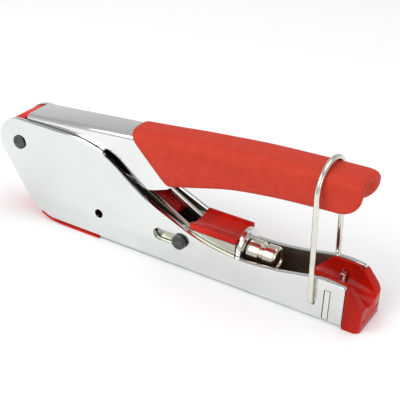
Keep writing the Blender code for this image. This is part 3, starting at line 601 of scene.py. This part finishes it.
def headed_pin_profile(node, dome):
    """A pin with two slightly domed heads, from one end to the other."""
    low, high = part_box(node)
    tip = high[1]
    head = (high[0] - low[0]) / 2
    half = [(0, tip, 0), (head * 0.55, tip - dome * 0.3, 0.5 * MM),
            (head * 0.9, tip - dome, 0.3 * MM), (head, tip - dome - HEAD_EDGE, 0.15 * MM),
            (head, HEAD_SEAT, 0.1 * MM), (PIN_RADIUS, HEAD_SEAT, 0.1 * MM)]
    return half + [(radius, -height, fillet) for radius, height, fillet in half[::-1]]


def bail_path():
    """The wire: in through the plate, round a tight bend, up the leg and over a half ellipse."""
    x, _, z = BAIL_HINGE
    _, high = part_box("latch_bail")
    half = high[1] - BAIL_WIRE
    shoulder = BAIL_SHOULDER - z
    arch = high[2] - BAIL_WIRE - BAIL_SHOULDER
    turn = np.linspace(0, pi / 2, 12)
    bend = np.stack([0 * turn, half - BAIL_CORNER * (1 - np.sin(turn)),
                     BAIL_CORNER * (1 - np.cos(turn))], 1)
    leg = np.linspace(BAIL_CORNER, shoulder, 24)[1:-1]
    leg = np.stack([0 * leg, half + 0 * leg, leg], 1)
    turn = np.linspace(0, pi / 2, 30)
    over = np.stack([0 * turn, half * np.cos(turn), shoulder + arch * np.sin(turn)], 1)
    side = np.concatenate([[(0, BAIL_END, 0)], bend, leg, over])
    side[:, 0] = BAIL_LEAN / shoulder * side[:, 2]
    other = side[:-1][::-1] * np.array((1, -1, 1))
    return np.concatenate([side, other]) + np.array((x, 0, z))


def saddle_section(half, top):
    """The saddle's outline: a shallow dish between rounded rims, with a belly underneath."""
    belly = SADDLE_RIM - SADDLE_BELLY
    lip = half - SADDLE_LIP
    radius = (lip ** 2 + SADDLE_DIP ** 2) / (2 * SADDLE_DIP)
    y = np.linspace(lip, -lip, 30)
    dish = np.stack([y, top - SADDLE_DIP + radius - np.sqrt(radius ** 2 - y ** 2)], 1)
    turn = np.linspace(0, pi / 2, 8)
    right = np.stack([half - SADDLE_ROUND * (1 - np.sin(turn)),
                      top - SADDLE_ROUND * (1 - np.cos(turn))], 1)[::-1]
    left = right[::-1] * np.array((-1, 1))
    side = [(half, SADDLE_RIM), (SADDLE_INSIDE, SADDLE_RIM), (SADDLE_INSIDE - 0.2 * MM, belly)]
    under = [(-y, z) for y, z in side] + side[::-1]
    return np.concatenate([dish, left, under, right])


def saddle_cover():
    """The saddle's outline carried along X, drawn in a little at its eased ends."""
    low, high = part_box("ram_saddle")
    start, end = low[0], high[0]
    section = saddle_section(high[1], high[2])
    centre = section.mean(axis=0)
    eased = ((0, 0.94), (0.25 * MM, 0.985), (0.7 * MM, 1.0))
    stations = [(start + in_from, share) for in_from, share in eased]
    stations += [(end - in_from, share) for in_from, share in eased[::-1]]
    rows = []
    for x, share in stations:
        ring = centre + (section - centre) * share
        rows.append(np.column_stack([np.full(len(ring), x), ring]))
    return grid_piece("saddle_cover", np.array(rows))


def spring_coil():
    """A helix round the pivot with a straight leg at each end; the wire's circle is carried on it."""
    side_face = SPRING_PITCH * SPRING_TURNS / 2
    share = np.linspace(0, 1, 150)
    angle = SPRING_START - 2 * pi * SPRING_TURNS * share
    coil = np.stack([PIVOT[0] + SPRING_RADIUS * np.cos(angle), (2 * share - 1) * side_face,
                     PIVOT[2] + SPRING_RADIUS * np.sin(angle)], 1)
    lower = np.array((PIVOT[0] + SPRING_LOWER_LEG[0], -side_face, SPRING_LOWER_LEG[1]))
    upper = np.array((PIVOT[0] + SPRING_UPPER_LEG[0], side_face, SPRING_UPPER_LEG[1]))
    along = np.linspace(0, 1, 10)[:-1, None]
    first = lower + (coil[0] - lower) * along
    last = upper + (coil[-1] - upper) * along
    path = np.concatenate([first, coil, last[::-1]])
    return tube_piece("spring_coil", path, SPRING_WIRE, 12, guide=(0.0, 1.0, 0.0))


# ---- the pieces, by body --------------------------------------------------------------------

SOFTENED = (
    # piece, node, eased edge in mm, finish, body, slot
    ("body_sheet", "body_channel", 0.28, "body_sheet", "body", "chromed_sheet"),
    ("spine_moulding", "rear_spine", 0.25, "spine_red", "body", "red_plastic"),
    ("nose_moulding", "nose_block", 0.35, "red", "body", "red_plastic"),
    ("anvil", "anvil_plate", 0.18, "pin_steel", "body", "plain_steel"),
    ("nose_dowel_near", "nose_pin_near", 0.15, "pin_steel", "body", "plain_steel"),
    ("nose_dowel_far", "nose_pin_far", 0.15, "pin_steel", "body", "plain_steel"),
    ("handle_sheet", "handle_channel", 0.25, "handle_sheet", "handle", "chromed_sheet"),
    ("hub_moulding", "handle_hub", 0.3, "spine_red", "handle", "red_plastic"),
    ("toggle_pin", "link_pin", 0.2, "steel", "handle", "plain_steel"),
    ("link_near", "link_plate_near", 0.2, "link_sheet", "link", "link_steel"),
    ("link_far", "link_plate_far", 0.2, "link_sheet", "link", "link_steel"),
    ("link_moulding", "link_filler", 0.25, "red", "link", "red_plastic"),
    ("rivet_rear", "link_rivet_rear", 0.12, "steel", "link", "plain_steel"),
    ("rivet_front", "link_rivet_front", 0.12, "steel", "link", "plain_steel"),
    ("pin_sleeve", "link_sleeve", 0.15, "steel", "link", "plain_steel"),
    ("carriage_sheet", "ram_carriage", 0.22, "carriage_sheet", "ram", "chromed_sheet"),
    ("ram_front", "ram_face", 0.35, "ram_sheet", "ram", "chromed_sheet"),
    ("shank_nut", "tip_nut", 0.2, "steel", "ram", "plain_steel"),
)


class ToolColours(bpy.types.PropertyGroup):
    """Colours that a user would change."""
    grip_colour: bpy.props.FloatVectorProperty(
        name="Grip", description="Colour of the vinyl sleeve", subtype="COLOR",
        default=(0.56, 0.034, 0.013), min=0, max=1)
    moulding_colour: bpy.props.FloatVectorProperty(
        name="Mouldings", description="Colour of the nose and link mouldings", subtype="COLOR",
        default=(0.44, 0.008, 0.002), min=0, max=1)
    saddle_colour: bpy.props.FloatVectorProperty(
        name="Saddle", description="Colour of the ram's saddle", subtype="COLOR",
        default=(0.50, 0.012, 0.004), min=0, max=1)


class ToolSizes(bpy.types.PropertyGroup):
    """Small sizes that a user would change."""
    grip_unevenness: bpy.props.FloatProperty(
        name="Grip unevenness", description="Depth of the slow waves in the vinyl", unit="LENGTH",
        default=0.12 * MM, min=0, max=MM)


class CRIMP_OT_finishes(bpy.types.Operator):
    """Makes the finishes"""
    bl_idname = "crimp.finishes"
    bl_label = "Finishes"

    def execute(self, context):
        make_finishes(context.scene.crimp_colours)
        return {"FINISHED"}


class CRIMP_OT_grip(bpy.types.Operator):
    """Makes the vinyl sleeve on the handle"""
    bl_idname = "crimp.grip"
    bl_label = "Grip"

    def execute(self, context):
        dress(grip_sleeve(context.scene.crimp_sizes), "grip", "handle", "handle_grip")
        return {"FINISHED"}


class CRIMP_OT_sheet_and_mouldings(bpy.types.Operator):
    """Makes the folded, stamped and moulded pieces with eased edges"""
    bl_idname = "crimp.sheet_and_mouldings"
    bl_label = "Sheet and mouldings"

    def execute(self, context):
        for name, node, edge, finish, body, slot in SOFTENED:
            dress(softened_copy(name, node, edge * MM), finish, body, node)
        return {"FINISHED"}


class CRIMP_OT_turned_pieces(bpy.types.Operator):
    """Makes the plunger tip and the headed pins"""
    bl_idname = "crimp.turned_pieces"
    bl_label = "Turned pieces"

    def execute(self, context):
        axis = middle("plunger_tip")
        dress(turned_piece("tip", tip_profile(), (0, axis[1], axis[2]), "X"), "tip", "ram",
              "plunger_tip")
        for name, node, dome, body in (("slot_pin", "ram_pin", 0.3 * MM, "ram"),
                                       ("hinge_pin", "pivot_pin", 0.1 * MM, "body")):
            at = middle(node)
            dress(turned_piece(name, headed_pin_profile(node, dome), (at[0], 0, at[2]), "Y", 64),
                  "black", body, node)
        return {"FINISHED"}


class CRIMP_OT_ram_saddle(bpy.types.Operator):
    """Makes the glossy saddle on the ram"""
    bl_idname = "crimp.ram_saddle"
    bl_label = "Ram saddle"

    def execute(self, context):
        piece = saddle_cover()
        piece.data.set_sharp_from_angle(angle=radians(40))
        dress(piece, "saddle", "ram", "ram_saddle")
        return {"FINISHED"}


class CRIMP_OT_wires(bpy.types.Operator):
    """Makes the latch bail and the return spring"""
    bl_idname = "crimp.wires"
    bl_label = "Wires"

    def execute(self, context):
        dress(tube_piece("bail_wire", bail_path(), BAIL_WIRE), "nickel", "bail", "latch_bail")
        coil = spring_coil()
        coil.data.materials.append(FINISHES["steel"])
        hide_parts("return_spring")
        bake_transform(coil)
        return {"FINISHED"}


def soft_light(name, place, toward, size, power):
    data = bpy.data.lights.new(name, "AREA")
    data.shape = "RECTANGLE"
    data.size, data.size_y = size
    data.energy = power
    made = bpy.data.objects.new(name, data)
    made.location = place
    made.rotation_euler = (Vector(toward) - Vector(place)).to_track_quat("-Z", "Y").to_euler()
    bpy.context.scene.collection.objects.link(made)


def pale_floor():
    mesh = bpy.data.meshes.new("floor")
    far = 6.0
    mesh.from_pydata([(-far, -far, 0), (far, -far, 0), (far, far, 0), (-far, far, 0)], [],
                     [(0, 1, 2, 3)])
    floor = new_piece("floor", mesh)
    floor.location.z = -0.1 * MM
    paint = Finish("floor_paint", (0.955, 0.965, 0.965), 0.85, specular=0.1)
    paint.feed("Roughness", 0.8 + paint.noise(3) * 0.1)
    floor.data.materials.append(paint.material)


def studio_world():
    """A room that is white at the horizon, greyer above it and paler again overhead."""
    world = bpy.data.worlds.new("studio")
    world.use_nodes = True
    tree = world.node_tree
    sky = tree.nodes["Background"]
    place = tree.nodes.new("ShaderNodeTexCoord")
    split = tree.nodes.new("ShaderNodeSeparateXYZ")
    ramp = tree.nodes.new("ShaderNodeValToRGB")
    tree.links.new(place.outputs["Generated"], split.inputs[0])
    tree.links.new(split.outputs["Z"], ramp.inputs[0])
    tree.links.new(ramp.outputs[0], sky.inputs["Color"])
    first, second = ramp.color_ramp.elements
    first.position, first.color = 0.12, (1, 1, 1, 1)
    second.position, second.color = 0.5, (0.66, 0.66, 0.67, 1)
    third = ramp.color_ramp.elements.new(0.95)
    third.color = (0.9, 0.9, 0.9, 1)
    sky.inputs["Strength"].default_value = 0.70
    return world


def studio_camera():
    data = bpy.data.cameras.new("camera")
    data.lens = CAMERA_LENS
    data.sensor_width = 36
    data.clip_start = 0.01
    camera = bpy.data.objects.new("camera", data)
    bpy.context.scene.collection.objects.link(camera)
    camera.matrix_world = camera_place()
    return camera


def camera_place():
    """The camera's place and turn: yaw and elevation round the tool, and a slight roll."""
    forward = Vector((-sin(CAMERA_YAW) * cos(CAMERA_RISE), cos(CAMERA_YAW) * cos(CAMERA_RISE),
                      -sin(CAMERA_RISE)))
    right = Vector((cos(CAMERA_YAW), sin(CAMERA_YAW), 0))
    down = forward.cross(right)
    across = cos(CAMERA_ROLL) * right + sin(CAMERA_ROLL) * down
    under = cos(CAMERA_ROLL) * down - sin(CAMERA_ROLL) * right
    turn = Matrix((across, -under, -forward)).transposed().to_4x4()
    return Matrix.Translation(CAMERA_AT) @ turn


class CRIMP_OT_stage(bpy.types.Operator):
    """Makes the floor, the light and the camera"""
    bl_idname = "crimp.stage"
    bl_label = "Stage"

    def execute(self, context):
        pale_floor()
        context.scene.world = studio_world()
        for name, place, size, power in LIGHTS:
            soft_light(name, place, (0, 0, 0.03), size, power)
        context.scene.camera = studio_camera()
        context.scene.view_settings.view_transform = "Standard"
        return {"FINISHED"}


class CRIMP_PT_panel(bpy.types.Panel):
    """Lists the operators and the sizes and colours"""
    bl_idname = "CRIMP_PT_panel"
    bl_label = "Crimping tool"
    bl_space_type = "VIEW_3D"
    bl_region_type = "UI"
    bl_category = "Crimping tool"

    def draw(self, context):
        for group in (context.scene.crimp_colours, context.scene.crimp_sizes):
            for name in group.__annotations__:
                self.layout.prop(group, name)
        for operator in OPERATORS:
            self.layout.operator(operator.bl_idname)


OPERATORS = (CRIMP_OT_finishes, CRIMP_OT_sheet_and_mouldings, CRIMP_OT_grip,
             CRIMP_OT_turned_pieces, CRIMP_OT_ram_saddle, CRIMP_OT_wires, CRIMP_OT_stage)
CLASSES = (ToolColours, ToolSizes, *OPERATORS, CRIMP_PT_panel)


def register():
    for made in CLASSES:
        bpy.utils.register_class(made)
    bpy.types.Scene.crimp_colours = bpy.props.PointerProperty(type=ToolColours)
    bpy.types.Scene.crimp_sizes = bpy.props.PointerProperty(type=ToolSizes)


def unregister():
    del bpy.types.Scene.crimp_sizes
    del bpy.types.Scene.crimp_colours
    for made in reversed(CLASSES):
        bpy.utils.unregister_class(made)


def main():
    register()
    bpy.ops.crimp.finishes()
    bpy.ops.crimp.sheet_and_mouldings()
    bpy.ops.crimp.grip()
    bpy.ops.crimp.turned_pieces()
    bpy.ops.crimp.ram_saddle()
    bpy.ops.crimp.wires()
    bpy.ops.crimp.stage()


if __name__ == "__main__":
    main()
